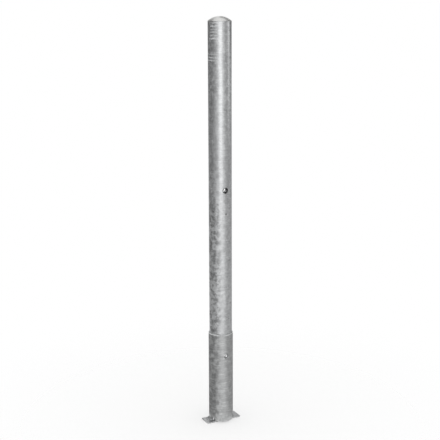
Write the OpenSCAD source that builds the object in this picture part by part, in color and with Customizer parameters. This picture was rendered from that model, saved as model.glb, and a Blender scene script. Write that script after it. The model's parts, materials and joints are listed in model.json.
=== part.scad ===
// Removable bollard. A galvanised tube post with a domed cap stands in a ground sleeve that is welded
// to a flat anchor bar. A triangular key stud in the post turns a crank, the crank lifts a rod, and a
// sloping slot at the rod's foot pushes a bolt out through the post and the sleeve.
// Sizes are millimetres. The origin is the centre of the anchor bar's underside, +Z is up, the key hole
// faces -Y and the anchor bar runs along X. The lock is drawn open, with the bolt inside the post.

/* [Post] */
// Outer diameter of the post tube
post_d = 76.1; // [60:0.1:115]
// Wall of the post tube
post_wall = 2.6; // [2:0.1:4]
// Height of the cap's top above the sleeve's rim
post_above = 1050; // [700:5:1500]
// Rise of the domed cap above the tube's end
cap_rise = 15; // [8:0.5:25]
// Thickness of the domed cap
cap_wall = 3; // [2:0.5:5]
// Width of the water notches in the post's foot
foot_notch_w = 26; // [14:1:32]
// Height of the water notches in the post's foot
foot_notch_h = 14; // [8:1:30]

/* [Ground sleeve] */
// Length of the sleeve tube
sleeve_h = 310; // [200:5:500]
// Wall of the sleeve tube
sleeve_wall = 2.6; // [2:0.1:5]
// Gap all round between the post and the sleeve
sleeve_clear = 0.6; // [0.4:0.1:2]
// Width of the drain notches at the sleeve's lower edge
drain_w = 13; // [6:0.5:20]
// Height of the drain notches at the sleeve's lower edge
drain_h = 12; // [8:0.5:20]
// Angle of the drain notches from the anchor bar's long axis
drain_angle = 21; // [0:1:30]

/* [Anchor bar] */
// Length of each end of the bar outside the sleeve
bar_lug = 21.5; // [15:0.5:60]
// Width of the bar
bar_w = 45; // [30:1:70]
// Thickness of the bar
bar_t = 5; // [4:0.5:10]
// Diameter of the drain holes through the bar
bar_hole_d = 14; // [6:0.5:20]
// Distance of the drain holes from the sleeve's inner wall
bar_hole_edge = 2; // [1:0.5:5]
// Leg of the fillet weld between the sleeve and the bar
weld_leg = 4; // [2:0.5:6]

/* [Key stud] */
// Height of the key hole above the sleeve's rim
key_rise = 494; // [300:1:600]
// Diameter of the key hole
key_hole_d = 20; // [18:0.5:24]
// Circle round the corners of the stud's triangle
stud_head_d = 16; // [13:0.5:16]
// Circle that blunts the corners of the stud's triangle
stud_blunt_d = 14.4; // [12.5:0.1:16]
// Depth of the stud's face behind the post's surface
stud_recess = 5; // [3:0.5:8]
// Length of the triangular head
stud_head_l = 12; // [8:0.5:14]
// Diameter of the stud's shaft
stud_d = 12; // [8:0.5:12]
// Outer diameter of the stud's bush
bush_d = 28; // [26:0.5:32]

/* [Crank and rod] */
// Distance from the stud's axis to the crank pin
crank_r = 11; // [9:0.5:13]
// Angle that the key turns from open to locked
key_turn = 90; // [60:1:90]
// Thickness of the crank arm
crank_t = 5; // [4:0.5:6]
// Diameter of the crank pin and of the bolt's cross pin
pin_d = 6; // [5:0.5:6]
// Thickness of the yoke plate
yoke_t = 6; // [4:0.5:8]
// Diameter of the rod
rod_d = 10; // [8:0.5:12]
// Length of the collar that stops the rod
collar_h = 6; // [4:0.5:10]
// Outer diameter of the collar
collar_d = 20; // [16:0.5:24]
// Width of the guide straps
strap_w = 22; // [18:1:30]
// Thickness of the guide straps
strap_t = 4; // [3:0.5:6]
// Distance from the guide straps to the stud's axis and to the bolt's axis
strap_offset = 70; // [60:1:90]

/* [Bolt] */
// Depth of the bolt's axis below the sleeve's rim
bolt_drop = 75; // [50:1:120]
// Diameter of the bolt
bolt_d = 14; // [12:0.5:16]
// Travel of the bolt from open to locked
bolt_travel = 5; // [4:0.5:6]
// Chamfer round the bolt's nose
bolt_chamfer = 1; // [0.5:0.1:2]
// Radial gap between the bolt and its hole in the post
post_hole_clear = 0.5; // [0.3:0.1:1]
// Radial gap between the bolt and its hole in the sleeve
sleeve_hole_clear = 1; // [0.5:0.1:1.5]
// Thickness of the slotted plate at the rod's foot
wedge_t = 5; // [4:0.5:6]
// Length of the bolt's guide
guide_l = 18; // [12:1:18]
// Wall of the bolt's guide
guide_wall = 5; // [3:0.5:8]

/* [Fits] */
// Radial gap of a shaft in its bore
run_gap = 0.05; // [0.02:0.01:0.1]
// Gap at welded seats on a curved wall
seat_gap = 0.2; // [0.1:0.05:0.3]
// End gap between pieces that turn or slide past each other
end_gap = 1; // [0.5:0.1:2]
// Gap between a resting piece and its stop
rest_gap = 0.3; // [0.2:0.1:0.4]
// Gap on each side of a pin in its slot
slot_gap = 0.5; // [0.4:0.05:0.8]
// Gap of the cross pin in the sloping slot
wedge_gap = 0.15; // [0.1:0.05:0.3]
// Material left round a slot
slot_margin = 4.5; // [3:0.5:6]

/* [Hidden] */
$fn = 96;

// Radii
post_r = post_d / 2;
post_ri = post_r - post_wall;
sleeve_ri = post_r + sleeve_clear;
sleeve_r = sleeve_ri + sleeve_wall;

// Heights
rim_z = bar_t + sleeve_h;
top_z = rim_z + post_above;
tube_top_z = top_z - cap_rise;
key_z = rim_z + key_rise;
bolt_z = rim_z - bolt_drop;
upper_strap_z = key_z - strap_offset;
lower_strap_z = bolt_z + strap_offset;

// Dome: a sphere through the tube's outer edge and the cap's top
dome_r = (post_r * post_r + cap_rise * cap_rise) / (2 * cap_rise);
dome_z = top_z - dome_r;

// Anchor bar
bar_l = 2 * (sleeve_r + bar_lug);
bar_hole_x = sleeve_ri - bar_hole_edge - bar_hole_d / 2;

// Places along Y, from the rod's axis outwards to the key hole
stud_face_y = -(post_r - stud_recess);
stud_shoulder_y = stud_face_y + stud_head_l;
crank_back_y = -(max(yoke_t, rod_d) / 2 + end_gap);
crank_front_y = crank_back_y - crank_t;
bush_back_y = crank_front_y - end_gap;
bush_floor_y = stud_shoulder_y + rest_gap;

// Crank and yoke: the crank pin starts below the stud's axis and ends as far above it
crank_angle = key_turn / 2;
rod_lift = 2 * crank_r * sin(crank_angle);
crank_pin_x = -crank_r * cos(crank_angle);
crank_pin_z = key_z - crank_r * sin(crank_angle);
slot_h = pin_d + 2 * slot_gap;
yoke_w = 2 * (crank_r + pin_d / 2 + slot_gap + slot_margin);
yoke_h = slot_h + 2 * slot_margin;
yoke_foot_z = crank_pin_z - yoke_h / 2;

// Bolt and sloping slot: the slot moves the cross pin by bolt_travel while the rod rises by rod_lift
wedge_slot_d = pin_d + 2 * wedge_gap;
wedge_angle = atan(bolt_travel / rod_lift);
wedge_slot_l = sqrt(bolt_travel * bolt_travel + rod_lift * rod_lift);
wedge_w = bolt_travel + wedge_slot_d + 2 * slot_margin;
wedge_h = rod_lift + wedge_slot_d + 2 * slot_margin;
wedge_z = bolt_z - rod_lift / 2;
wedge_top_z = wedge_z + wedge_h / 2;
bolt_nose_y = -(post_r - rest_gap);
bolt_tail_y = bolt_travel / 2 + pin_d / 2 + slot_margin;
fork_y = -(wedge_w / 2 + end_gap);
cross_pin_l = sqrt(bolt_d * bolt_d - pin_d * pin_d);

// Post and sleeve tubes end in the same way, so they share this ring
module tube(r_out, r_in, z_low, z_high) {
    translate([0, 0, z_low])
        difference() {
            cylinder(r = r_out, h = z_high - z_low);
            translate([0, 0, -1])
                cylinder(r = r_in, h = z_high - z_low + 2);
        }
}

// Cylinder along Y from one place to another, at a given height
module along_y(r, y_low, y_high, z) {
    translate([0, y_low, z])
        rotate([-90, 0, 0])
            cylinder(r = r, h = y_high - y_low);
}

// Pair of arched notches, cut through the foot of a tube on opposite sides
module foot_notches(width, height, reach, angle) {
    for (side = [0, 180])
        rotate([0, 0, angle + side]) {
            translate([-reach, -width / 2, bar_t - 1])
                cube([reach, width, height - width / 2 + 1]);
            translate([-reach, 0, bar_t + height - width / 2])
                rotate([0, 90, 0])
                    cylinder(d = width, h = reach);
        }
}

// Flat strap across the post's inside, with a bore for the rod
module strap(z) {
    difference() {
        intersection() {
            translate([-post_r, -strap_w / 2, z])
                cube([2 * post_r, strap_w, strap_t]);
            translate([0, 0, z - 1])
                cylinder(r = post_ri - seat_gap, h = strap_t + 2);
        }
        translate([0, 0, z - 1])
            cylinder(d = rod_d + 2 * run_gap, h = strap_t + 2);
    }
}

module anchor_bar() {
    color("#9a9d9e")
        difference() {
            translate([-bar_l / 2, -bar_w / 2, 0])
                cube([bar_l, bar_w, bar_t]);
            for (side = [-1, 1])
                translate([side * bar_hole_x, 0, -1])
                    cylinder(d = bar_hole_d, h = bar_t + 2);
        }
}

module sleeve_tube() {
    color("#9fa2a3")
        difference() {
            tube(sleeve_r, sleeve_ri, bar_t, rim_z);
            foot_notches(drain_w, drain_h, sleeve_r + 1, drain_angle);
            along_y(bolt_d / 2 + sleeve_hole_clear, -(sleeve_r + 1), 0, bolt_z);
        }
}

// Fillet weld where the sleeve stands on the bar, broken at the drain notches
module sleeve_weld() {
    color("#8f9293")
        difference() {
            intersection() {
                rotate_extrude()
                    polygon([
                        [sleeve_r + seat_gap, bar_t],
                        [sleeve_r + seat_gap + weld_leg, bar_t],
                        [sleeve_r + seat_gap, bar_t + weld_leg]
                    ]);
                translate([-bar_l / 2, -bar_w / 2, 0])
                    cube([bar_l, bar_w, bar_t + weld_leg]);
            }
            foot_notches(drain_w, drain_h, sleeve_r + weld_leg + 1, drain_angle);
        }
}

module post_tube() {
    color("#a6a9ab")
        difference() {
            tube(post_r, post_ri, bar_t, tube_top_z);
            foot_notches(foot_notch_w, foot_notch_h, post_r + 1, drain_angle);
            along_y(key_hole_d / 2, -(post_r + 1), 0, key_z);
            along_y(bolt_d / 2 + post_hole_clear, -(post_r + 1), 0, bolt_z);
        }
}

module post_cap() {
    color("#b3b5b6")
        intersection() {
            translate([0, 0, dome_z])
                difference() {
                    sphere(r = dome_r);
                    sphere(r = dome_r - cap_wall);
                }
            translate([0, 0, tube_top_z])
                cylinder(r = post_r, h = cap_rise + 1);
        }
}

// Bush behind the key hole: a wide mouth for the key and a bore for the stud's shaft
module stud_bush() {
    color("#85888a")
        difference() {
            intersection() {
                along_y(bush_d / 2, -post_r, bush_back_y, key_z);
                translate([0, 0, key_z - bush_d])
                    cylinder(r = post_ri - seat_gap, h = 2 * bush_d);
            }
            along_y(key_hole_d / 2, -(post_r + 1), bush_floor_y, key_z);
            along_y(stud_d / 2 + run_gap, -(post_r + 1), 0, key_z);
        }
}

module upper_strap() {
    color("#85888a")
        strap(upper_strap_z);
}

module lower_strap() {
    color("#85888a")
        strap(lower_strap_z);
}

// Guide tube of the bolt, welded to the post's inner wall
module bolt_guide() {
    color("#85888a")
        difference() {
            intersection() {
                along_y(bolt_d / 2 + guide_wall, -post_r, -post_ri + guide_l, bolt_z);
                translate([0, 0, bolt_z - bolt_d - guide_wall])
                    cylinder(r = post_ri - seat_gap, h = 2 * (bolt_d + guide_wall));
            }
            along_y(bolt_d / 2 + run_gap, -(post_r + 1), 0, bolt_z);
        }
}

// Triangular head with blunt corners, and the shaft behind it
module key_stud() {
    color("#c9cbcc") {
        intersection() {
            translate([0, stud_shoulder_y, key_z])
                rotate([90, -90, 0])
                    cylinder(d = stud_head_d, h = stud_head_l, $fn = 3);
            along_y(stud_blunt_d / 2, stud_face_y, stud_shoulder_y, key_z);
        }
        along_y(stud_d / 2, stud_shoulder_y, crank_back_y, key_z);
    }
}

// Arm at the back of the stud's shaft, from the shaft out to the crank pin
module crank_arm() {
    color("#7b7e80")
        translate([0, crank_front_y, key_z])
            rotate([0, -crank_angle, 0])
                rotate([-90, 0, 0])
                    difference() {
                        union() {
                            cylinder(r = stud_d / 2 + slot_margin, h = crank_t);
                            translate([-crank_r, 0, 0])
                                cylinder(r = pin_d / 2 + slot_margin, h = crank_t);
                            translate([-crank_r, -pin_d / 2 - slot_margin, 0])
                                cube([crank_r, pin_d + 2 * slot_margin, crank_t]);
                        }
                        translate([0, 0, -1])
                            cylinder(r = stud_d / 2 + run_gap, h = crank_t + 2);
                    }
}

module crank_pin() {
    color("#c9cbcc")
        translate([crank_pin_x, 0, 0])
            along_y(pin_d / 2, crank_back_y, yoke_t / 2 + end_gap, crank_pin_z);
}

// Plate with the level slot that the crank pin works in
module rod_yoke() {
    color("#7b7e80")
        translate([0, 0, crank_pin_z])
            difference() {
                translate([-yoke_w / 2, -yoke_t / 2, -yoke_h / 2])
                    cube([yoke_w, yoke_t, yoke_h]);
                translate([-crank_r, -yoke_t / 2 - 1, -slot_h / 2])
                    cube([crank_r + crank_pin_x, yoke_t + 2, slot_h]);
                for (x = [-crank_r, crank_pin_x])
                    translate([x, 0, 0])
                        along_y(slot_h / 2, -yoke_t / 2 - 1, yoke_t / 2 + 1, 0);
            }
}

module lift_rod() {
    color("#b0b2b3")
        translate([0, 0, wedge_top_z])
            cylinder(d = rod_d, h = yoke_foot_z - wedge_top_z);
}

// Collar that rests the rod on the upper strap
module rod_collar() {
    color("#7b7e80")
        translate([0, 0, upper_strap_z + strap_t + rest_gap])
            difference() {
                cylinder(d = collar_d, h = collar_h);
                translate([0, 0, -1])
                    cylinder(d = rod_d + 2 * run_gap, h = collar_h + 2);
            }
}

// Plate at the rod's foot, with the sloping slot that drives the bolt
module wedge_plate() {
    color("#7b7e80")
        translate([0, 0, wedge_z])
            difference() {
                translate([-wedge_t / 2, -wedge_w / 2, -wedge_h / 2])
                    cube([wedge_t, wedge_w, wedge_h]);
                rotate([-wedge_angle, 0, 0]) {
                    translate([-wedge_t, -wedge_slot_d / 2, -wedge_slot_l / 2])
                        cube([2 * wedge_t, wedge_slot_d, wedge_slot_l]);
                    for (side = [-1, 1])
                        translate([-wedge_t, 0, side * wedge_slot_l / 2])
                            rotate([0, 90, 0])
                                cylinder(d = wedge_slot_d, h = 2 * wedge_t);
                }
            }
}

// Bolt with a chamfered nose, and a fork behind that straddles the wedge plate
module lock_bolt() {
    color("#d0d2d3")
        difference() {
            translate([0, bolt_nose_y, bolt_z])
                rotate([-90, 0, 0])
                    rotate_extrude()
                        polygon([
                            [0, 0],
                            [bolt_d / 2 - bolt_chamfer, 0],
                            [bolt_d / 2, bolt_chamfer],
                            [bolt_d / 2, bolt_tail_y - bolt_nose_y],
                            [0, bolt_tail_y - bolt_nose_y]
                        ]);
            translate([-wedge_t / 2 - slot_gap, fork_y, bolt_z - bolt_d])
                cube([wedge_t + 2 * slot_gap, bolt_tail_y - fork_y + 1, 2 * bolt_d]);
            translate([-bolt_d, bolt_travel / 2, bolt_z])
                rotate([0, 90, 0])
                    cylinder(r = pin_d / 2 + run_gap, h = 2 * bolt_d);
        }
}

module cross_pin() {
    color("#c9cbcc")
        translate([-cross_pin_l / 2, bolt_travel / 2, bolt_z])
            rotate([0, 90, 0])
                cylinder(d = pin_d, h = cross_pin_l);
}

anchor_bar();
sleeve_tube();
sleeve_weld();
post_tube();
post_cap();
stud_bush();
upper_strap();
lower_strap();
bolt_guide();
key_stud();
crank_arm();
crank_pin();
rod_yoke();
lift_rod();
rod_collar();
wedge_plate();
lock_bolt();
cross_pin();
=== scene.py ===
"""Looks of the removable bollard: fine galvanised skins, weld beads, lock pieces, studio and camera.

Metres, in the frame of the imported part. Angles round the post are turns about its axis, with 0 at
the side that faces -Y and positive turns towards +X.
"""
import json
import math

import bmesh
import bpy
from mathutils import Matrix, Vector


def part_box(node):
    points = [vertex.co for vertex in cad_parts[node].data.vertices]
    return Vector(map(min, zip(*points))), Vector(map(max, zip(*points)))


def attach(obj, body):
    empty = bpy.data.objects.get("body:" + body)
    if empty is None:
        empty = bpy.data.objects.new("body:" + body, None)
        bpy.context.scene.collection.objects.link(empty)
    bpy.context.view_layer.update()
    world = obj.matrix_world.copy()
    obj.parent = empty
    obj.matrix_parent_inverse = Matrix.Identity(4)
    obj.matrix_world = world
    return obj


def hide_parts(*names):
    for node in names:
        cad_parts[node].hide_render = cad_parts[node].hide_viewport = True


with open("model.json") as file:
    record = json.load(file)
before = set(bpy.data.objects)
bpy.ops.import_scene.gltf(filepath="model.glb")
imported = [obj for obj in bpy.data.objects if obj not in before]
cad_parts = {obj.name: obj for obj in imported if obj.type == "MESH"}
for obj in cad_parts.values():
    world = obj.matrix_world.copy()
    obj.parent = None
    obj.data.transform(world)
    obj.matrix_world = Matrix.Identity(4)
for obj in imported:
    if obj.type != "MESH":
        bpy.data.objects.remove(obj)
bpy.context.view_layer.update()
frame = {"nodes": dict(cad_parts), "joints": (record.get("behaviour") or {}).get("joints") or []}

MM = 0.001

# Sizes that the boxes of the nodes give
POST_R = max(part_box("post_tube")[1].x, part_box("post_tube")[1].y)
POST_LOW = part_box("post_tube")[0].z
POST_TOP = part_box("post_tube")[1].z
CAP_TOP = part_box("post_cap")[1].z
SLEEVE_R = max(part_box("sleeve_tube")[1].x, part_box("sleeve_tube")[1].y)
SLEEVE_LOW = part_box("sleeve_tube")[0].z
RIM_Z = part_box("sleeve_tube")[1].z
BAR_LOW, BAR_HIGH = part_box("anchor_bar")
BOLT_LOW, BOLT_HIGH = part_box("lock_bolt")
STUD_LOW, STUD_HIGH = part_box("key_stud")
BOLT_Z = (BOLT_LOW.z + BOLT_HIGH.z) / 2
BOLT_R = (BOLT_HIGH.z - BOLT_LOW.z) / 2
KEY_Z = frame["joints"][1]["pos_m"][2]

# Sizes that the part's own drawing gives
TUBE_WALL = 2.6 * MM
CAP_WALL = 3.0 * MM
KEY_HOLE_R = 10.0 * MM
POST_BOLT_HOLE_R = 7.5 * MM
SLEEVE_BOLT_HOLE_R = 8.0 * MM
DRAIN_W = 13.0 * MM
DRAIN_H = 12.0 * MM
FOOT_NOTCH_W = 26.0 * MM
FOOT_NOTCH_H = 14.0 * MM
NOTCH_TURN = math.radians(-69.0)
BAR_HOLE_R = 7.0 * MM
BAR_HOLE_X = 29.65 * MM
WELD_LEG = 4.0 * MM
STUD_FLAT = 4.0 * MM
STUD_CORNER_R = 7.2 * MM
STUD_HEAD_L = 12.0 * MM
STUD_SHAFT_R = 6.0 * MM
BOLT_SLOT_W = 6.0 * MM
BOLT_SLOT_Y = -11.15 * MM

# Sizes of the finish, chosen for the looks alone
POST_ROUND = 1.0 * MM
SLEEVE_ROUND = 0.8 * MM
BAR_ROUND = 0.7 * MM
SMALL_ROUND = 0.2 * MM
BEAD_PITCH = 2.3 * MM
BEAD_CROWN = 0.55 * MM
WEB_GAP = 1.0 * MM
WEB_DEPTH = 1.1 * MM
WEB_T = 0.7 * MM
WEB_RUN_H = 0.9 * MM
WEB_RUN_W = 1.6 * MM
WEB_RUN_SIDE = -1.2 * MM
WEB_RUN_LEAN = 0.38
STUD_LEAD_SHARE = 0.5
STUD_LEAD_L = 1.5 * MM
NOSE_HOLLOW_R = 3.6 * MM
NOSE_HOLLOW_L = 2.4 * MM
NOSE_RIM_R = 4.0 * MM
NOSE_CHAMFER_L = 1.9 * MM

# Scales of the zinc's patterns, and how far its crystals bend
BEND_SCALE = 160.0
BEND = 6.0 * MM
CRYSTAL_SCALE = 120.0
CLOUD_SCALE = 62.0
LINE_SCALE = 620.0
STREAK_SCALE = 300.0
SPECK_SCALE = 130.0
SKIN_SCALE = 210.0
FINE_SCALE = 1500.0

# Marks in the zinc: turns, heights and strengths
BLOTCH_TURN = math.radians(-80.0)
BLOTCH_FROM = 0.95
BLOTCH_FULL = 0.65
BLOTCH_GAIN = 3.2
PALE_MOST = 0.9
PALE_TONE = 0.35
MARK_PITCH = 9.8 * MM
BAND_HEIGHTS = (1.290, 1.346)
RING_HEIGHTS = (1.222, 1.246)
SCAR = (0.001, -POST_R, 0.73)

# Half width and half height of the grid's window round each cut-out, or its whole height at a notch
POST_HOLE_WINDOW = (15.0 * MM, 14.0 * MM)
POST_NOTCH_WINDOW = (17.0 * MM, 20.0 * MM)
SLEEVE_HOLE_WINDOW = (13.0 * MM, 13.0 * MM)
SLEEVE_NOTCH_WINDOW = (10.0 * MM, 17.0 * MM)
BAR_WINDOW = 12.0 * MM
EDGE_ROW = 1.5 * MM
RING_SHARES = (0.0, 0.3, 0.55, 0.8)

# Camera: where the viewer stands, seen from the post
VIEW_TURN = math.radians(28.0)
VIEW_DISTANCE = 3.278
VIEW_HEIGHT = 1.470
VIEW_PITCH = math.radians(13.16)
VIEW_ROLL = math.radians(0.207)
VIEW_ASIDE = 0.001
LENS = 83.35
SENSOR = 36.0
TOWARDS_VIEWER = Vector((-math.sin(VIEW_TURN), -math.cos(VIEW_TURN), 0.0))
VIEWER_RIGHT = Vector((math.cos(VIEW_TURN), -math.sin(VIEW_TURN), 0.0))


# ---------------------------------------------------------------- mesh helpers

def add_object(name, bm):
    """Object at the origin with the finished mesh of bm, shaded smooth."""
    bmesh.ops.recalc_face_normals(bm, faces=bm.faces)
    mesh = bpy.data.meshes.new(name)
    bm.to_mesh(mesh)
    bm.free()
    mesh.shade_smooth()
    piece = bpy.data.objects.new(name, mesh)
    bpy.context.scene.collection.objects.link(piece)
    return piece


def round_edges(piece, width, segments=3):
    """Bevels the sharp edges of a piece, then keeps the long faces flat in the shading."""
    bevel = piece.modifiers.new("rounding", "BEVEL")
    bevel.width = width
    bevel.segments = segments
    bevel.limit_method = "ANGLE"
    bevel.angle_limit = math.radians(40)
    bevel.use_clamp_overlap = True
    weighted = piece.modifiers.new("weighting", "WEIGHTED_NORMAL")
    weighted.keep_sharp = True
    return piece


def bridge(bm, first, second):
    """Faces between two rings of vertices; a ring of one vertex is a point on the axis."""
    for k in range(max(len(first), len(second))):
        along_first = [first[n % len(first)] for n in (k, k + 1)]
        along_second = [second[n % len(second)] for n in (k + 1, k)]
        bm.faces.new(list(dict.fromkeys(along_first + along_second)))


def grid_lines(low, high, windows, fine, coarse):
    """Places from low to high that meet both sides of each window, fine inside them and coarse outside."""
    marks = sorted({low, high, *(side for window in windows for side in window)})
    places = [marks[0]]
    for start, end in zip(marks, marks[1:]):
        middle = (start + end) / 2
        inside = any(a < middle < b for a, b in windows)
        count = max(1, math.ceil((end - start) / (fine if inside else coarse) - 1e-6))
        places += [start + (end - start) * k / count for k in range(1, count + 1)]
    return places


def hole(turn, height, radius, half_u, half_v, scale):
    """Round cut-out: its window in u and v, and its edge's point for a point of the window's frame.

    scale is the length of one unit of u, and bend turns a distance across the hole into u.
    """
    def edge(u, v, bend):
        across, up = (u - turn) * scale, v - height
        share = radius / math.hypot(across, up)
        return turn + bend(across * share), height + up * share

    window = (turn - half_u, turn + half_u, height - half_v, height + half_v)
    return {"window": window, "edge": edge, "open": False}


def arch(turn, low, width, height, half_u, window_h, scale):
    """Arched cut-out that is open at the sheet's lower edge."""
    centre = low + height - width / 2

    def edge(u, v, bend):
        across, up = (u - turn) * scale, v - centre
        if up <= 0:
            return turn + bend(math.copysign(width / 2, across)), v
        share = width / 2 / math.hypot(across, up)
        return turn + bend(across * share), centre + up * share

    return {"window": (turn - half_u, turn + half_u, low, low + window_h), "edge": edge, "open": True}


def window_frame(columns, rows, is_open):
    """Grid indices round a window: a whole round, or left side, top and right side where it is open."""
    left, right = columns[0], columns[-1]
    low, high = rows[0], rows[-1]
    up = [(left, j) for j in rows]
    over = [(i, high) for i in columns[1:]]
    down = [(right, j) for j in reversed(rows[:-1])]
    back = [] if is_open else [(i, low) for i in reversed(columns[1:-1])]
    return up + over + down + back


def add_sheet(bm, us, vs, cutouts, place, bend, closed):
    """Grid of quads with cut-outs; returns its vertices in an order that only the grid decides."""
    def inside(u, v):
        windows = [c["window"] for c in cutouts]
        return any(left < u < right and low < v < high for left, right, low, high in windows)

    columns = len(us) - 1 if closed else len(us)
    grid = {}
    made = []

    def vertex(i, j):
        key = (i % columns if closed else i, j)
        if key not in grid:
            grid[key] = bm.verts.new(place(us[key[0]], vs[j]))
            made.append(grid[key])
        return grid[key]

    for i in range(len(us) - 1):
        for j in range(len(vs) - 1):
            if not inside((us[i] + us[i + 1]) / 2, (vs[j] + vs[j + 1]) / 2):
                bm.faces.new((vertex(i, j), vertex(i + 1, j), vertex(i + 1, j + 1), vertex(i, j + 1)))
    for cutout in cutouts:
        made += add_window(bm, us, vs, cutout, place, bend, vertex)
    return made


def add_window(bm, us, vs, cutout, place, bend, vertex):
    """Rings of quads from a window's frame in to the edge of its cut-out."""
    u_low, u_high, v_low, v_high = cutout["window"]
    tiny = 1e-7
    columns = [i for i, u in enumerate(us) if u_low - tiny <= u <= u_high + tiny]
    rows = [j for j, v in enumerate(vs) if v_low - tiny <= v <= v_high + tiny]
    around = window_frame(columns, rows, cutout["open"])
    rings = []
    made = []
    for share in RING_SHARES:
        ring = []
        for i, j in around:
            u, v = us[i], vs[j]
            edge_u, edge_v = cutout["edge"](u, v, bend)
            ring.append(bm.verts.new(place(edge_u + (u - edge_u) * share, edge_v + (v - edge_v) * share)))
        rings.append(ring)
        made += ring
    rings.append([vertex(i, j) for i, j in around])
    steps = len(around) - 1 if cutout["open"] else len(around)
    for inner, outer in zip(rings, rings[1:]):
        for k in range(steps):
            n = (k + 1) % len(around)
            bm.faces.new((inner[k], inner[n], outer[n], outer[k]))
    return made


def join_walls(bm, first, second):
    """Closes the edges between two sheets that were made in the same order."""
    partner = dict(zip(first, second))
    for edge in [e for e in bm.edges if e.is_boundary and e.verts[0] in partner]:
        a, b = edge.verts
        bm.faces.new((a, b, partner[b], partner[a]))


def tube_wall(name, radius, wall, low, high, cutouts):
    """Tube with cut-outs that are drilled straight through its wall."""
    u_windows = [c["window"][:2] for c in cutouts]
    v_windows = [c["window"][2:] for c in cutouts]
    edge_rows = [(low, low + EDGE_ROW), (high - EDGE_ROW, high)]
    us = grid_lines(-math.pi, math.pi, u_windows, math.radians(2.6), math.radians(3.0))
    vs = grid_lines(low, high, v_windows + edge_rows, 2.0 * MM, 30.0 * MM)
    bm = bmesh.new()
    sheets = []
    for r in (radius, radius - wall):
        place = lambda u, v, r=r: (r * math.sin(u), -r * math.cos(u), v)
        bend = lambda across, r=r: math.asin(across / r)
        sheets.append(add_sheet(bm, us, vs, cutouts, place, bend, True))
    join_walls(bm, *sheets)
    return add_object(name, bm)


def lathe(name, profile, segments):
    """Solid turned from a profile of (radius, height) points; points of radius 0 close it on the axis."""
    bm = bmesh.new()
    rings = []
    for radius, height in profile:
        count = 1 if radius == 0 else segments
        ring = []
        for k in range(count):
            turn = 2 * math.pi * k / segments
            ring.append(bm.verts.new((radius * math.cos(turn), radius * math.sin(turn), height)))
        rings.append(ring)
    for lower, upper in zip(rings, rings[1:]):
        bridge(bm, lower, upper)
    return add_object(name, bm)


def arc(centre, radius, start, end, count):
    """Points on an arc from one angle to another, in degrees."""
    points = []
    for k in range(count + 1):
        angle = math.radians(start + (end - start) * k / count)
        points.append((centre[0] + radius * math.cos(angle), centre[1] + radius * math.sin(angle)))
    return points


# ---------------------------------------------------------------- pieces

def build_post():
    """Post tube with the key hole, the bolt's hole and two water notches in its foot."""
    half_w, half_h = POST_HOLE_WINDOW
    notch_half_w, notch_h = POST_NOTCH_WINDOW
    holes = [
        hole(0.0, KEY_Z, KEY_HOLE_R, half_w / POST_R, half_h, POST_R),
        hole(0.0, BOLT_Z, POST_BOLT_HOLE_R, half_w / POST_R, half_h, POST_R),
    ]
    notches = [
        arch(turn, POST_LOW, FOOT_NOTCH_W, FOOT_NOTCH_H, notch_half_w / POST_R, notch_h, POST_R)
        for turn in (NOTCH_TURN, NOTCH_TURN + math.pi)
    ]
    piece = tube_wall("post_skin", POST_R, TUBE_WALL, POST_LOW, POST_TOP, holes + notches)
    round_edges(piece, POST_ROUND, 4)
    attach(piece, "post")
    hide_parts("post_tube")
    return piece


def build_cap():
    """Shallow dome over the whole tube, with a small round at its rim."""
    rise = CAP_TOP - POST_TOP
    dome_r = (POST_R ** 2 + rise ** 2) / (2 * rise)
    dome_z = CAP_TOP - dome_r
    inner_r = dome_r - CAP_WALL
    round_r = 0.8 * MM
    rim_angle = math.degrees(math.acos((POST_R - 0.35 * MM) / dome_r))
    inner_angle = math.degrees(math.asin((POST_TOP - dome_z) / inner_r))
    outside = [(0.0, CAP_TOP)] + arc((0.0, dome_z), dome_r, 89.0, rim_angle, 40)
    rim = arc((POST_R - round_r, POST_TOP + round_r), round_r, 10.0, -90.0, 5)
    inside = arc((0.0, dome_z), inner_r, inner_angle, 89.0, 24) + [(0.0, dome_z + inner_r)]
    piece = lathe("cap_dome", outside + rim + inside, 160)
    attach(piece, "post")
    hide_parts("post_cap")
    return piece


def build_sleeve():
    """Ground sleeve with the bolt's hole and two drain notches at its lower edge."""
    half_w, half_h = SLEEVE_HOLE_WINDOW
    notch_half_w, notch_h = SLEEVE_NOTCH_WINDOW
    holes = [hole(0.0, BOLT_Z, SLEEVE_BOLT_HOLE_R, half_w / SLEEVE_R, half_h, SLEEVE_R)]
    notches = [
        arch(turn, SLEEVE_LOW, DRAIN_W, DRAIN_H, notch_half_w / SLEEVE_R, notch_h, SLEEVE_R)
        for turn in (NOTCH_TURN, NOTCH_TURN + math.pi)
    ]
    piece = tube_wall("sleeve_skin", SLEEVE_R, TUBE_WALL, SLEEVE_LOW, RIM_Z, holes + notches)
    round_edges(piece, SLEEVE_ROUND, 4)
    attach(piece, "ground_sleeve")
    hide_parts("sleeve_tube")
    return piece


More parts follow.
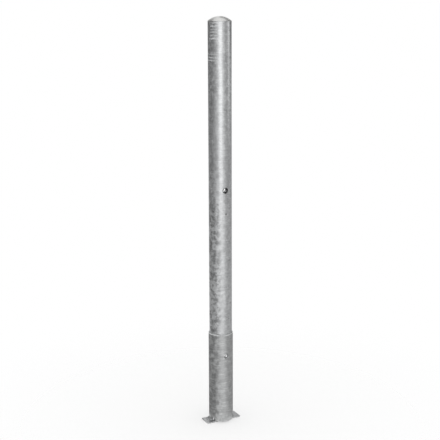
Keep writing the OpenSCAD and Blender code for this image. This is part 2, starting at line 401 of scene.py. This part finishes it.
def build_bar():
    """Rolled flat bar with rounded edges and two drain holes."""
    holes = [hole(side * BAR_HOLE_X, 0.0, BAR_HOLE_R, BAR_WINDOW, BAR_WINDOW, 1.0) for side in (-1, 1)]
    u_windows = [h["window"][:2] for h in holes]
    v_windows = [h["window"][2:] for h in holes]
    u_windows += [(BAR_LOW.x, BAR_LOW.x + EDGE_ROW), (BAR_HIGH.x - EDGE_ROW, BAR_HIGH.x)]
    v_windows += [(BAR_LOW.y, BAR_LOW.y + EDGE_ROW), (BAR_HIGH.y - EDGE_ROW, BAR_HIGH.y)]
    us = grid_lines(BAR_LOW.x, BAR_HIGH.x, u_windows, 2.0 * MM, 4.0 * MM)
    vs = grid_lines(BAR_LOW.y, BAR_HIGH.y, v_windows, 2.0 * MM, 4.0 * MM)
    bm = bmesh.new()
    sheets = []
    for z in (BAR_LOW.z, BAR_HIGH.z):
        place = lambda u, v, z=z: (u, v, z)
        sheets.append(add_sheet(bm, us, vs, holes, place, lambda across: across, False))
    join_walls(bm, *sheets)
    piece = add_object("bar_skin", bm)
    round_edges(piece, BAR_ROUND)
    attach(piece, "ground_sleeve")
    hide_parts("anchor_bar")
    return piece


def bead_section(turn, size, ripple):
    """Points of a weld bead's section at one turn: a low crown over the corner of sleeve and bar."""
    root_r = SLEEVE_R - 0.2 * MM
    root_z = BAR_HIGH.z - 0.2 * MM
    leg = (WELD_LEG + 0.2 * MM) * size
    points = [(root_r, root_z), (root_r, root_z + leg)]
    for k in range(1, 8):
        share = k / 8
        crown = (BEAD_CROWN + ripple) * math.sin(math.pi * share) * size
        points.append((root_r + leg * share + crown * 0.7, root_z + leg * (1 - share) + crown * 0.7))
    points.append((root_r + leg, root_z))
    return [(r * math.sin(turn), -r * math.cos(turn), z) for r, z in points]


def add_bead(bm, start, end):
    """One weld bead from one turn to another, with the ripples that the pool leaves."""
    pitch = BEAD_PITCH / SLEEVE_R
    steps = max(6, int((end - start) / (pitch / 8)))
    rings = []
    for k in range(steps + 1):
        turn = start + (end - start) * k / steps
        from_end = min(turn - start, end - turn) * SLEEVE_R
        size = 0.55 + 0.45 * math.sin(min(1.0, from_end / (2.5 * MM)) * math.pi / 2)
        phase = ((turn - start) / pitch) % 1.0
        ripple = 0.35 * MM * (phase ** 0.5 - 0.6) + 0.12 * MM * math.sin(turn * 31.0)
        rings.append([bm.verts.new(p) for p in bead_section(turn, size, ripple)])
    for first, second in zip(rings, rings[1:]):
        bridge(bm, first, second)
    bm.faces.new(rings[0])
    bm.faces.new(list(reversed(rings[-1])))


def build_welds():
    """Fillet beads between sleeve and bar, broken at the drain notches."""
    reach = math.asin((BAR_HIGH.y - 1.5 * MM) / (SLEEVE_R + WELD_LEG / 2))
    gap = math.asin((DRAIN_W / 2 + 1.0 * MM) / SLEEVE_R)
    bm = bmesh.new()
    for side in (0.0, math.pi):
        middle = side - math.pi / 2
        notch = NOTCH_TURN + side
        add_bead(bm, middle - reach, notch - gap)
        add_bead(bm, notch + gap, middle + reach)
    piece = add_object("weld_beads", bm)
    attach(piece, "ground_sleeve")
    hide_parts("sleeve_weld")
    return piece


def web_run(s, z):
    """Share of the zinc run's height at a place on a web: a slanting ridge."""
    middle = WEB_RUN_SIDE + WEB_RUN_LEAN * (z - SLEEVE_LOW)
    return math.exp(-((s - middle) / WEB_RUN_W) ** 2)


def web_wall(bm, start, depth, run_h):
    """One wall of a web in the notch at one turn, as rows that follow the notch's outline."""
    columns, rows = 16, 20
    arch_r = DRAIN_W / 2
    centre = SLEEVE_LOW + DRAIN_H - arch_r
    low = SLEEVE_LOW + WEB_GAP
    wall = []
    for j in range(rows + 1):
        z = low + (centre + arch_r * 0.985 - low) * j / rows
        half = arch_r if z <= centre else math.sqrt(arch_r ** 2 - (z - centre) ** 2)
        for i in range(columns + 1):
            s = half * (2 * i / columns - 1)
            r = SLEEVE_R - depth + web_run(s, z) * run_h
            turn = start + math.asin(s / SLEEVE_R)
            wall.append(bm.verts.new((r * math.sin(turn), -r * math.cos(turn), z)))
    for j in range(rows):
        for i in range(columns):
            k = j * (columns + 1) + i
            bm.faces.new((wall[k], wall[k + 1], wall[k + columns + 2], wall[k + columns + 1]))
    return wall


def build_webs():
    """Thin webs that the zinc leaves in the drain notches, each with a slanting run on its front."""
    bm = bmesh.new()
    for start in (NOTCH_TURN, NOTCH_TURN + math.pi):
        front = web_wall(bm, start, WEB_DEPTH, WEB_RUN_H)
        back = web_wall(bm, start, WEB_DEPTH + WEB_T, 0.0)
        join_walls(bm, front, back)
    piece = add_object("zinc_webs", bm)
    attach(piece, "ground_sleeve")
    return piece


def triangle_outline():
    """Outline of the stud's head, one corner up: three flats and three blunt corners on a circle."""
    half_flat = math.degrees(math.acos(STUD_FLAT / STUD_CORNER_R))
    points = []
    for side in range(3):
        normal = 30.0 + 120.0 * side
        points += arc((0.0, 0.0), STUD_CORNER_R, normal + half_flat, normal + 120.0 - half_flat, 4)
    return points


def build_stud():
    """Key stud: triangular head with a wide lead-in for the key, on a turned shaft."""
    bm = bmesh.new()
    front, shoulder = STUD_LOW.y, STUD_LOW.y + STUD_HEAD_L
    outline = triangle_outline()
    shaft = arc((0.0, 0.0), STUD_SHAFT_R, 0.0, 360.0, 48)[:-1]
    head = ((outline, STUD_LEAD_SHARE, front), (outline, 1.0, front + STUD_LEAD_L), (outline, 1.0, shoulder))
    tail = ((shaft, 1.0, shoulder), (shaft, 1.0, STUD_HIGH.y))
    for part in (head, tail):
        rings = []
        for points, share, y in part:
            rings.append([bm.verts.new((x * share, y, KEY_Z + z * share)) for x, z in points])
        bm.faces.new(rings[0])
        bm.faces.new(rings[-1])
        for first, second in zip(rings, rings[1:]):
            bridge(bm, first, second)
    piece = add_object("stud_turned", bm)
    round_edges(piece, SMALL_ROUND, 2)
    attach(piece, "key_stud")
    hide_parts("key_stud")
    return piece


def add_nose(bm):
    """Turned front of the bolt, up to its slot: hollow centre, rim, wide chamfer and side."""
    nose = BOLT_LOW.y
    slot = BOLT_SLOT_Y - nose
    ease = 0.1 * MM
    profile = [
        (0.0, NOSE_HOLLOW_L), (NOSE_HOLLOW_R, ease), (NOSE_RIM_R, 0.0), (NOSE_RIM_R + 0.4 * MM, ease),
        (BOLT_R - 0.2 * MM, NOSE_CHAMFER_L), (BOLT_R, NOSE_CHAMFER_L + 0.4 * MM), (BOLT_R, slot), (0.0, slot),
    ]
    segments = 64
    rings = []
    for radius, depth in profile:
        ring = []
        for k in range(1 if radius == 0 else segments):
            turn = 2 * math.pi * k / segments
            x, z = radius * math.cos(turn), BOLT_Z + radius * math.sin(turn)
            ring.append(bm.verts.new((x, nose + depth, z)))
        rings.append(ring)
    for first, second in zip(rings, rings[1:]):
        bridge(bm, first, second)


def add_cheek(bm, side):
    """Flat-sided tongue of the bolt beside its slot, on the side at an angle of 0 or 180 degrees."""
    half = math.degrees(math.acos(BOLT_SLOT_W / 2 / BOLT_R))
    outline = arc((0.0, BOLT_Z), BOLT_R, side - half, side + half, 20)
    ends = [[bm.verts.new((x, y, z)) for x, z in outline] for y in (BOLT_SLOT_Y - 0.5 * MM, BOLT_HIGH.y)]
    for end in ends:
        bm.faces.new(end)
    bridge(bm, *ends)


def build_bolt():
    """Locking bolt: a turned nose, and two cheeks behind it that straddle the slotted plate."""
    bm = bmesh.new()
    add_nose(bm)
    for side in (0.0, 180.0):
        add_cheek(bm, side)
    piece = add_object("bolt_turned", bm)
    round_edges(piece, SMALL_ROUND, 2)
    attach(piece, "lock_bolt")
    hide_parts("lock_bolt")
    return piece


# ---------------------------------------------------------------- materials

class Graph:
    """Short way to write the node graph of one material or world."""

    def __init__(self, owner):
        owner.use_nodes = True
        self.tree = owner.node_tree
        self.tree.nodes.clear()

    def node(self, kind, inputs=None, **settings):
        made = self.tree.nodes.new(kind)
        for key, value in settings.items():
            setattr(made, key, value)
        for key, value in (inputs or {}).items():
            self.put(made.inputs[key], value)
        return made

    def put(self, socket, value):
        if isinstance(value, bpy.types.NodeSocket):
            self.tree.links.new(value, socket)
        else:
            socket.default_value = value

    def math(self, operation, *values, clamp=False):
        made = self.tree.nodes.new("ShaderNodeMath")
        made.operation = operation
        made.use_clamp = clamp
        for socket, value in zip(made.inputs, values):
            self.put(socket, value)
        return made.outputs[0]

    def product(self, first, *others):
        for other in others:
            first = self.math("MULTIPLY", first, other)
        return first

    def total(self, first, *others):
        for other in others:
            first = self.math("ADD", first, other)
        return first

    def off(self, value, centre):
        """Distance of a value from a centre."""
        return self.math("ABSOLUTE", self.math("SUBTRACT", value, centre))

    def place(self):
        """Place on the object, in metres."""
        return self.node("ShaderNodeTexCoord").outputs["Object"]

    def axes(self, vector):
        return self.node("ShaderNodeSeparateXYZ", {0: vector}).outputs

    def turn(self, axes):
        """Turn about the post's axis."""
        return self.math("ARCTAN2", axes[0], self.math("MULTIPLY", axes[1], -1.0))

    def scaled(self, vector, scale):
        made = self.node("ShaderNodeVectorMath", {0: vector, 1: scale}, operation="MULTIPLY")
        return made.outputs[0]

    def surface(self, shader):
        self.node("ShaderNodeOutputMaterial", {"Surface": shader.outputs[0]})

    def noise(self, vector, scale, detail=2.0, roughness=0.5):
        inputs = {"Vector": vector, "Scale": scale, "Detail": detail, "Roughness": roughness}
        return self.node("ShaderNodeTexNoise", inputs).outputs["Fac"]

    def span(self, value, low, high, out_low=0.0, out_high=1.0, smooth=True):
        """Maps low..high to out_low..out_high, with a smooth start and end."""
        inputs = {"Value": value, "From Min": low, "From Max": high, "To Min": out_low, "To Max": out_high}
        kind = "SMOOTHSTEP" if smooth else "LINEAR"
        return self.node("ShaderNodeMapRange", inputs, interpolation_type=kind).outputs["Result"]

    def centred(self, value, amount):
        """A value from 0 to 1 as a change round zero."""
        return self.math("MULTIPLY", self.math("SUBTRACT", value, 0.5), amount)


def zinc_patterns(g, place):
    """Spangle crystals, clouds, drawn lines and level streaks, each from 0 to 1."""
    wander = g.node("ShaderNodeTexNoise", {"Vector": place, "Scale": BEND_SCALE, "Detail": 2.0})
    shift = g.scaled(wander.outputs["Color"], (BEND, BEND, BEND))
    bent = g.node("ShaderNodeVectorMath", {0: place, 1: shift}, operation="ADD").outputs[0]
    cells = g.node("ShaderNodeTexVoronoi", {"Vector": bent, "Scale": CRYSTAL_SCALE}, feature="SMOOTH_F1")
    crystal = g.node("ShaderNodeSeparateColor", {0: cells.outputs["Color"]}).outputs[0]
    clouds = g.noise(place, CLOUD_SCALE, 4.0, 0.62)
    lines = g.noise(g.scaled(place, (1.0, 1.0, 0.015)), LINE_SCALE, 2.0, 0.6)
    streaks = g.noise(g.scaled(place, (0.1, 0.1, 1.0)), STREAK_SCALE, 3.0, 0.7)
    return crystal, clouds, lines, streaks


def blotches(g, place, clouds, mottle):
    """Dark and light patches of the zinc, stronger low down and towards -X."""
    axes = g.axes(place)
    side = g.span(g.off(g.turn(axes), BLOTCH_TURN), math.radians(62), math.radians(30))
    foot = g.span(axes[2], BLOTCH_FROM, BLOTCH_FULL)
    amount = g.total(mottle, g.product(side, foot, BLOTCH_GAIN * mottle))
    patches = g.math("SUBTRACT", g.span(clouds, 0.40, 0.60), 0.5)
    return g.product(patches, amount)


def zinc_bump(g, place, lines):
    """Uneven skin of the zinc, with the drawn lines and a fine grain."""
    skin = g.noise(place, SKIN_SCALE, 3.0, 0.55)
    fine = g.noise(place, FINE_SCALE, 2.0, 0.5)
    height = g.total(skin, g.product(lines, 0.5), g.product(fine, 0.12))
    return g.node("ShaderNodeBump", {"Strength": 0.5, "Distance": 0.18 * MM, "Height": height}).outputs[0]


def galvanised(name, tone, tint, roughness, mottle, drawn=0.0, level=0.0, speckle=0.0, marks=None):
    """Hot-dip zinc: mottled spangle, drawn lines along the tube, level streaks and an uneven gloss.

    speckle is the share of dull pale zinc in the mottling, and marks adds more of it in chosen places.
    """
    material = bpy.data.materials.new(name)
    g = Graph(material)
    place = g.place()
    crystal, clouds, lines, streaks = zinc_patterns(g, place)
    level_tone = g.total(
        tone, g.centred(crystal, mottle * 0.45), blotches(g, place, clouds, mottle),
        g.centred(lines, drawn), g.centred(streaks, level),
    )
    gloss = g.total(roughness, g.centred(clouds, 0.16), g.centred(crystal, 0.08))
    shader = g.node("ShaderNodeBsdfPrincipled", {"Roughness": gloss, "Normal": zinc_bump(g, place, lines)})
    if speckle or level or marks:
        specks = g.product(g.span(g.noise(place, SPECK_SCALE, 3.0, 0.65), 0.48, 0.62), speckle)
        pale = g.total(specks, g.product(g.span(streaks, 0.5, 0.7), level))
        # The marks given here paint highlights and reflections as pale zinc, besides a real scar on the post.
        if marks:
            pale = g.total(pale, marks(g, place))
        pale = g.math("MINIMUM", pale, PALE_MOST)
        level_tone = g.total(level_tone, g.product(pale, PALE_TONE))
        g.put(shader.inputs["Metallic"], g.math("SUBTRACT", 1.0, pale, clamp=True))
    else:
        shader.inputs["Metallic"].default_value = 1.0
    channels = {k: g.product(level_tone, share) for k, share in enumerate(tint)}
    g.put(shader.inputs["Base Color"], g.node("ShaderNodeCombineColor", channels).outputs[0])
    g.surface(shader)
    return material


def level_marks(g, height, wander, low, high):
    """Pale level bands at an even pitch between two heights, uneven along their length: zinc ridges, with the
    white that they mirror painted in.
    """
    wave = g.math("SINE", g.total(g.product(height, 2 * math.pi / MARK_PITCH), wander))
    soft = 4.0 * MM
    return g.product(g.span(wave, 0.2, 0.9), g.product(g.span(height, low - soft, low),
                                                       g.span(height, high + soft, high)))


def post_marks_and_sheen(g, place):
    """Pale bands and rings high on the post, where the zinc bath left ridges, with the white that these
    ridges mirror painted in as dull pale zinc; and a dark scar.
    """
    axes = g.axes(place)
    turn = g.turn(axes)
    ragged = g.total(turn, g.centred(g.noise(place, 110.0, 3.0, 0.6), 0.7))
    wander = g.centred(g.noise(place, 70.0, 3.0, 0.6), 7.0)
    # Painted reflection: the white that the ridges mirror is painted as pale zinc.
    bands = g.product(
        level_marks(g, axes[2], wander, *BAND_HEIGHTS),
        g.span(ragged, math.radians(-88), math.radians(-72)),
        g.span(ragged, math.radians(-32), math.radians(-46)),
    )
    rings = g.product(
        level_marks(g, axes[2], g.centred(wander, 0.2), *RING_HEIGHTS),
        g.span(turn, math.radians(-34), math.radians(-48)),
        g.span(turn, math.radians(-150), math.radians(-120)),
    )
    spot = g.node("ShaderNodeVectorMath", {0: place, 1: SCAR}, operation="DISTANCE").outputs["Value"]
    scar = g.span(spot, 4.5 * MM, 1.5 * MM)
    return g.math("SUBTRACT", g.total(g.product(bands, 0.40), g.product(rings, 0.30)), scar)


def rim_painted_highlight(g, place):
    """Painted highlight: a pale, dull band along the sleeve's upper rim."""
    return g.product(g.span(g.axes(place)[2], RIM_Z - 1.6 * MM, RIM_Z - 0.5 * MM), 0.8)


def web_painted_highlight(g, place):
    """Painted highlight: a pale, dull band along the slanting run on each web."""
    axes = g.axes(place)
    along = g.total(g.product(axes[0], -math.cos(NOTCH_TURN)), g.product(axes[1], -math.sin(NOTCH_TURN)))
    side = g.product(along, g.math("SIGN", axes[0]))
    lean = g.product(g.math("SUBTRACT", axes[2], SLEEVE_LOW), WEB_RUN_LEAN)
    away = g.off(side, g.total(lean, WEB_RUN_SIDE))
    return g.product(g.span(away, 2.4 * MM, 1.2 * MM), 0.9)


def turned_steel(name, tone, roughness, grain, worn=0.0):
    """Plain machined steel: scratches and stains in tone and gloss.

    The last argument brightens the chamfers of what is turned about the Y axis: partly wear, partly a painted
    highlight.
    """
    material = bpy.data.materials.new(name)
    g = Graph(material)
    place = g.place()
    grainy = g.noise(g.scaled(place, (1.0, 0.2, 1.0)), 900.0, 3.0, 0.6)
    stains = g.noise(place, 90.0, 4.0, 0.6)
    level = g.total(tone, g.centred(grainy, grain), g.centred(stains, grain))
    # Wear and painted highlight: chamfers are brightened by their slope to the Y axis.
    if worn:
        normal = g.node("ShaderNodeTexCoord").outputs["Normal"]
        along = g.math("ABSOLUTE", g.axes(normal)[1])
        slope = g.product(g.span(along, 0.15, 0.35), g.span(along, 0.985, 0.93))
        level = g.total(level, g.product(slope, worn))
    channels = {0: level, 1: g.product(level, 1.005), 2: g.product(level, 1.01)}
    colour = g.node("ShaderNodeCombineColor", channels).outputs[0]
    gloss = g.total(roughness, g.centred(stains, 0.2))
    bump = g.node("ShaderNodeBump", {"Strength": 0.4, "Distance": 0.05 * MM, "Height": grainy}).outputs[0]
    shader = g.node("ShaderNodeBsdfPrincipled", {"Base Color": colour, "Roughness": gloss, "Normal": bump})
    shader.inputs["Metallic"].default_value = 1.0
    g.surface(shader)
    return material


def paint(piece, material):
    """Puts one material on every slot of a piece."""
    if not piece.data.materials:
        piece.data.materials.append(material)
    for slot in piece.material_slots:
        slot.material = material


# ---------------------------------------------------------------- studio

# Share of the white studio that the side flags hide, by the angle from the viewer's direction
SIDE_FLAGS = (
    (-180, 0.0), (-165, 0.15), (-150, 0.80), (-125, 0.90), (-95, 0.93), (-70, 0.88), (-50, 0.72),
    (-32, 0.50), (-14, 0.18), (2, 0.02), (20, 0.0), (34, 0.30), (50, 0.62), (75, 0.72), (100, 0.70),
    (125, 0.74), (148, 0.74), (165, 0.15), (180, 0.0),
)
FLAG_TONE_TOP = 0.17
FLAG_TONE_LOW = 0.27
LOW_SHIFT = math.radians(10.0)
SIDE_FLAG_R = 0.30
SIDE_FLAG_IN = 0.075
SIDE_FLAG_LOW = 2.0 * MM
SIDE_FLAG_TOP = 1.80
BACK_FLAG_R = 1.60
BACK_FLAG_LOW = 0.9
BACK_FLAG_TOP = 1.8
SLIT_TURN = math.radians(90.0)
LIMB_TURN = math.radians(124.0)
LIMB_HIDDEN = 0.92
DARK_TOP_LOW = 1.44
DARK_TOP_FULL = 1.56
BACK_HIDDEN = 0.85
WORLD_LIGHT = 0.97
LAMP_TURN = math.radians(6.0)
LAMP_AWAY = 2.9
LAMP_HEIGHT = 1.25
LAMP_AIM = 0.7
FLOOR_RINGS = (0.3, 0.8, 1.6, 2.6)
FLOOR_TONE = 0.965
FLOOR_FADE = (0.12, 1.2)
FLOOR_CLEAR = 0.45


def build_world():
    """White background for the camera and for what metal mirrors, and a plain soft light."""
    world = bpy.data.worlds.new("studio")
    bpy.context.scene.world = world
    g = Graph(world)
    rays = g.node("ShaderNodeLightPath")
    mirrored = g.math("MAXIMUM", rays.outputs["Is Glossy Ray"], rays.outputs["Is Transmission Ray"])
    background = g.math("MAXIMUM", rays.outputs["Is Camera Ray"], mirrored)
    strength = g.span(background, 0.0, 1.0, WORLD_LIGHT, 1.0, smooth=False)
    white = g.node("ShaderNodeBackground", {"Color": (1.0, 1.0, 1.0, 1.0), "Strength": strength})
    g.node("ShaderNodeOutputWorld", {"Surface": white.outputs[0]})


def add_flag(name, start, end, profile, opacity):
    """Curved studio card round the object, along (radius, height) points, that only mirrored rays meet."""
    bm = bmesh.new()
    steps = 72
    rings = []
    for k in range(steps + 1):
        turn = math.radians(start + (end - start) * k / steps)
        way = TOWARDS_VIEWER * math.cos(turn) + VIEWER_RIGHT * math.sin(turn)
        rings.append([bm.verts.new((way.x * radius, way.y * radius, z)) for radius, z in profile])
    for first, second in zip(rings, rings[1:]):
        for k in range(len(profile) - 1):
            bm.faces.new((first[k], second[k], second[k + 1], first[k + 1]))
    card = add_object(name, bm)
    paint(card, flag_material(name, opacity))
    card.visible_camera = False
    card.visible_diffuse = False
    card.visible_transmission = False
    card.visible_volume_scatter = False
    card.visible_shadow = False


def flag_material(name, opacity):
    """Grey card that is clear where opacity, by the angle from the viewer's direction and height, is 0."""
    material = bpy.data.materials.new(name)
    g = Graph(material)
    place = g.place()
    front = g.node("ShaderNodeVectorMath", {0: place, 1: TOWARDS_VIEWER}, operation="DOT_PRODUCT")
    aside = g.node("ShaderNodeVectorMath", {0: place, 1: VIEWER_RIGHT}, operation="DOT_PRODUCT")
    turn = g.math("ARCTAN2", aside.outputs["Value"], front.outputs["Value"])
    height = g.axes(place)[2]
    clear = g.node("ShaderNodeBsdfTransparent")
    tone = g.span(height, 0.2, 1.3, FLAG_TONE_LOW, FLAG_TONE_TOP)
    grey = g.node("ShaderNodeEmission", {"Color": (1.0, 1.0, 1.0, 1.0), "Strength": tone})
    hidden = opacity(g, turn, height)
    g.surface(g.node("ShaderNodeMixShader", {0: hidden, 1: clear.outputs[0], 2: grey.outputs[0]}))
    return material


def side_ramp(g, turn):
    """Share that the side flags hide at a turn, by the stops of SIDE_FLAGS."""
    share = g.span(turn, -math.pi, math.pi, smooth=False)
    ramp = g.node("ShaderNodeValToRGB", {"Fac": share})
    ramp.color_ramp.interpolation = "EASE"
    stops = ramp.color_ramp.elements
    while len(stops) < len(SIDE_FLAGS):
        stops.new(0.5)
    for stop, (angle, hidden) in zip(stops, SIDE_FLAGS):
        stop.position = (angle + 180) / 360
        stop.color = (hidden, hidden, hidden, 1.0)
    return ramp.outputs["Color"]


def side_opacity(g, turn, height):
    """Side flags: the ramp, turned a little low down, darker on the right near the top but for a slit."""
    ramp = side_ramp(g, g.math("SUBTRACT", turn, g.span(height, 0.15, 1.2, LOW_SHIFT, 0.0)))
    at_slit = g.span(g.off(turn, SLIT_TURN), math.radians(15), math.radians(5))
    slit = g.product(at_slit, g.span(height, 0.88, 1.20))
    at_limb = g.span(g.off(turn, LIMB_TURN), math.radians(22), math.radians(8))
    limb = g.product(at_limb, g.span(height, 1.0, 1.3))
    to_right = g.span(turn, math.radians(20), math.radians(50))
    over = g.product(g.span(height, DARK_TOP_LOW, DARK_TOP_FULL), to_right)
    hidden = g.math("MAXIMUM", ramp, g.product(g.math("MAXIMUM", limb, over), LIMB_HIDDEN))
    open_slit = g.math("SUBTRACT", 1.0, g.product(slit, g.span(height, DARK_TOP_FULL, DARK_TOP_LOW)))
    cover = g.product(open_slit, g.span(height, SIDE_FLAG_TOP, SIDE_FLAG_TOP - 0.15))
    return g.product(hidden, cover)


def back_opacity(g, turn, height):
    """Dark band behind the object that starts above its middle and fades at its sides."""
    off_back = g.math("SUBTRACT", math.pi, g.math("ABSOLUTE", turn))
    wide = g.span(off_back, math.radians(65), math.radians(35))
    band = g.product(g.span(height, 1.0, 1.2), g.span(height, 1.75, 1.5))
    return g.product(wide, band, BACK_HIDDEN)


def build_flags():
    """Cards that shape what the metal mirrors: both sides and the floor close by, and a band far behind."""
    around = [(SIDE_FLAG_IN, SIDE_FLAG_LOW), (SIDE_FLAG_R, SIDE_FLAG_LOW), (SIDE_FLAG_R, SIDE_FLAG_TOP)]
    behind = [(BACK_FLAG_R, BACK_FLAG_LOW), (BACK_FLAG_R, BACK_FLAG_TOP)]
    add_flag("side_flags", -180.0, 180.0, around, side_opacity)
    add_flag("back_flag", 110.0, 250.0, behind, back_opacity)


def build_softbox():
    """Large soft lamp on the viewer's side, a little to the right."""
    way = TOWARDS_VIEWER * math.cos(LAMP_TURN) + VIEWER_RIGHT * math.sin(LAMP_TURN)
    data = bpy.data.lights.new("softbox", "AREA")
    data.shape = "RECTANGLE"
    data.size = 1.75
    data.size_y = 2.2
    data.energy = 8.8
    lamp = bpy.data.objects.new("softbox", data)
    lamp.location = way * LAMP_AWAY + Vector((0.0, 0.0, LAMP_HEIGHT))
    lamp.rotation_euler = (Vector((0.0, 0.0, LAMP_AIM)) - lamp.location).to_track_quat("-Z", "Y").to_euler()
    bpy.context.scene.collection.objects.link(lamp)


def floor_material():
    """Pale floor that fades into the white background. Under the bar's drain holes it is clear, so the white
    background shows there as painted light where the floor lies in shade.
    """
    material = bpy.data.materials.new("pale_floor")
    g = Graph(material)
    place = g.place()
    away = g.node("ShaderNodeVectorMath", {0: place}, operation="LENGTH").outputs["Value"]
    fade = g.span(away, *FLOOR_FADE, FLOOR_CLEAR, 1.0)
    axes = g.axes(place)
    # Painted light: the floor turns clear under the drain holes, where it lies in the bar's shade.
    aside = g.math("SUBTRACT", g.math("ABSOLUTE", axes[0]), BAR_HOLE_X)
    from_hole = g.math("SQRT", g.total(g.math("POWER", aside, 2.0), g.math("POWER", axes[1], 2.0)))
    fade = g.math("MAXIMUM", fade, g.span(from_hole, BAR_HOLE_R, BAR_HOLE_R - 0.3 * MM))
    grain = g.noise(place, 60.0, 3.0, 0.5)
    level = g.total(FLOOR_TONE, g.centred(grain, 0.02))
    colour = g.node("ShaderNodeCombineColor", {0: level, 1: level, 2: level}).outputs[0]
    pale = g.node("ShaderNodeBsdfDiffuse", {"Color": colour})
    clear = g.node("ShaderNodeBsdfTransparent")
    g.surface(g.node("ShaderNodeMixShader", {0: fade, 1: pale.outputs[0], 2: clear.outputs[0]}))
    return material


def build_floor():
    """Round floor under the object."""
    bm = bmesh.new()
    rings = [[bm.verts.new((0.0, 0.0, 0.0))]]
    segments = 96
    turns = [2 * math.pi * k / segments for k in range(segments)]
    for r in FLOOR_RINGS:
        rings.append([bm.verts.new((r * math.cos(turn), r * math.sin(turn), 0.0)) for turn in turns])
    for inner, outer in zip(rings, rings[1:]):
        bridge(bm, outer, inner)
    floor = add_object("floor", bm)
    floor.location.z = -0.2 * MM
    paint(floor, floor_material())


def build_camera():
    """Camera at the photograph's viewing angle."""
    look = -TOWARDS_VIEWER * math.cos(VIEW_PITCH) - Vector((0.0, 0.0, math.sin(VIEW_PITCH)))
    up = VIEWER_RIGHT.cross(look)
    right_rolled = VIEWER_RIGHT * math.cos(VIEW_ROLL) - up * math.sin(VIEW_ROLL)
    up_rolled = up * math.cos(VIEW_ROLL) + VIEWER_RIGHT * math.sin(VIEW_ROLL)
    data = bpy.data.cameras.new("camera")
    data.lens = LENS
    data.sensor_width = SENSOR
    data.clip_start = 0.05
    data.clip_end = 50.0
    camera = bpy.data.objects.new("camera", data)
    camera.rotation_euler = Matrix((right_rolled, up_rolled, -look)).transposed().to_euler()
    camera.location = TOWARDS_VIEWER * VIEW_DISTANCE - VIEWER_RIGHT * VIEW_ASIDE
    camera.location.z = VIEW_HEIGHT
    bpy.context.scene.collection.objects.link(camera)
    bpy.context.scene.camera = camera


# ---------------------------------------------------------------- assembly

build_camera()
build_world()
build_flags()
build_softbox()
build_floor()

COOL = (0.985, 1.0, 1.01)
WARM = (1.0, 1.0, 0.985)
NEUTRAL = (0.985, 1.0, 1.0)
PLAIN = (0.99, 1.0, 1.01)
# The post's marks are zinc ridges with the white they mirror painted in, and a dark scar.
zinc_post = galvanised("zinc_post", 0.56, COOL, 0.32, 0.09, drawn=0.12, level=0.16, speckle=0.16,
                       marks=post_marks_and_sheen)
zinc_cap = galvanised("zinc_cap", 0.70, WARM, 0.34, 0.06, level=0.03, speckle=0.06)
# The sleeve's zinc tone is set below the post's as painted shade, for the darker floor that the sleeve
# mirrors.
zinc_sleeve = galvanised("zinc_sleeve", 0.46, NEUTRAL, 0.42, 0.05, drawn=0.05, level=0.26, speckle=0.10,
                         marks=rim_painted_highlight)
zinc_bar = galvanised("zinc_bar", 0.52, PLAIN, 0.45, 0.08)
zinc_weld = galvanised("zinc_weld", 0.46, PLAIN, 0.42, 0.10)
# The webs' zinc carries a painted highlight along each run.
zinc_web = galvanised("zinc_web", 0.60, PLAIN, 0.40, 0.06, marks=web_painted_highlight)
steel_inner = turned_steel("steel_inner", 0.46, 0.45, 0.06)
steel_bright = turned_steel("steel_bright", 0.76, 0.26, 0.08)
# Turned steel whose chamfers carry wear and a painted highlight.
steel_worn = turned_steel("steel_worn", 0.36, 0.34, 0.08, worn=0.58)

paint(build_post(), zinc_post)
paint(build_cap(), zinc_cap)
paint(build_sleeve(), zinc_sleeve)
paint(build_bar(), zinc_bar)
paint(build_welds(), zinc_weld)
paint(build_webs(), zinc_web)
paint(build_stud(), steel_worn)
paint(build_bolt(), steel_worn)

BRIGHT_NODES = ("crank_pin", "cross_pin")
INNER_NODES = (
    "stud_bush", "upper_strap", "lower_strap", "bolt_guide", "crank_arm",
    "rod_yoke", "lift_rod", "rod_collar", "wedge_plate",
)
for node_name in BRIGHT_NODES:
    paint(frame["nodes"][node_name], steel_bright)
for node_name in INNER_NODES:
    paint(frame["nodes"][node_name], steel_inner)

bpy.context.scene.view_settings.view_transform = "Standard"
